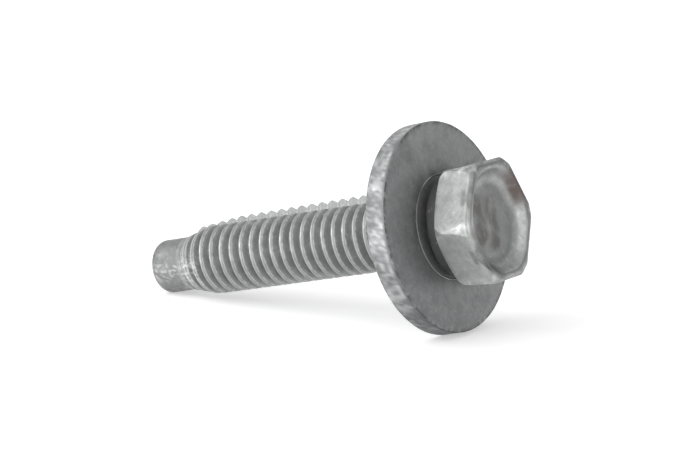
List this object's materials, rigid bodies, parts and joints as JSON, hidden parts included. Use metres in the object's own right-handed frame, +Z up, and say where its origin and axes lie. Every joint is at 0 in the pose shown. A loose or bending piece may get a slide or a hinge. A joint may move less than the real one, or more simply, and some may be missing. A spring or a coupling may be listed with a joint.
{
  "type": "hex bolt with captive washer",
  "caption": "Hex-head bolt with a dished head, a captive loose flat washer, a full thread and an unthreaded dog point, lying on its washer and point.",
  "frame": {"origin": "bottom centre of the bounding box, on the surface that the bolt lies on", "axes": "+Z up, +X level, along the bolt from its point to its head, +Y level, across it"},
  "size_m": [0.047, 0.0236, 0.0232],
  "materials": {
    "zinc_bolt": "dull zinc plating, satin, a little smudged",
    "zinc_washer": "dull zinc plating, mottled, darker on the front face"
  },
  "bodies": {
    "bolt": {"bolt": "zinc_bolt"},
    "washer": {"washer": "zinc_washer"}
  },
  "joints": [
    {"name": "washer_spin", "type": "hinge", "parent": "bolt", "child": "washer", "pos_m": [0.01302, 0.00009, 0.01121], "axis": [0.9736, 0, 0.2282], "continuous": true}
  ]
}
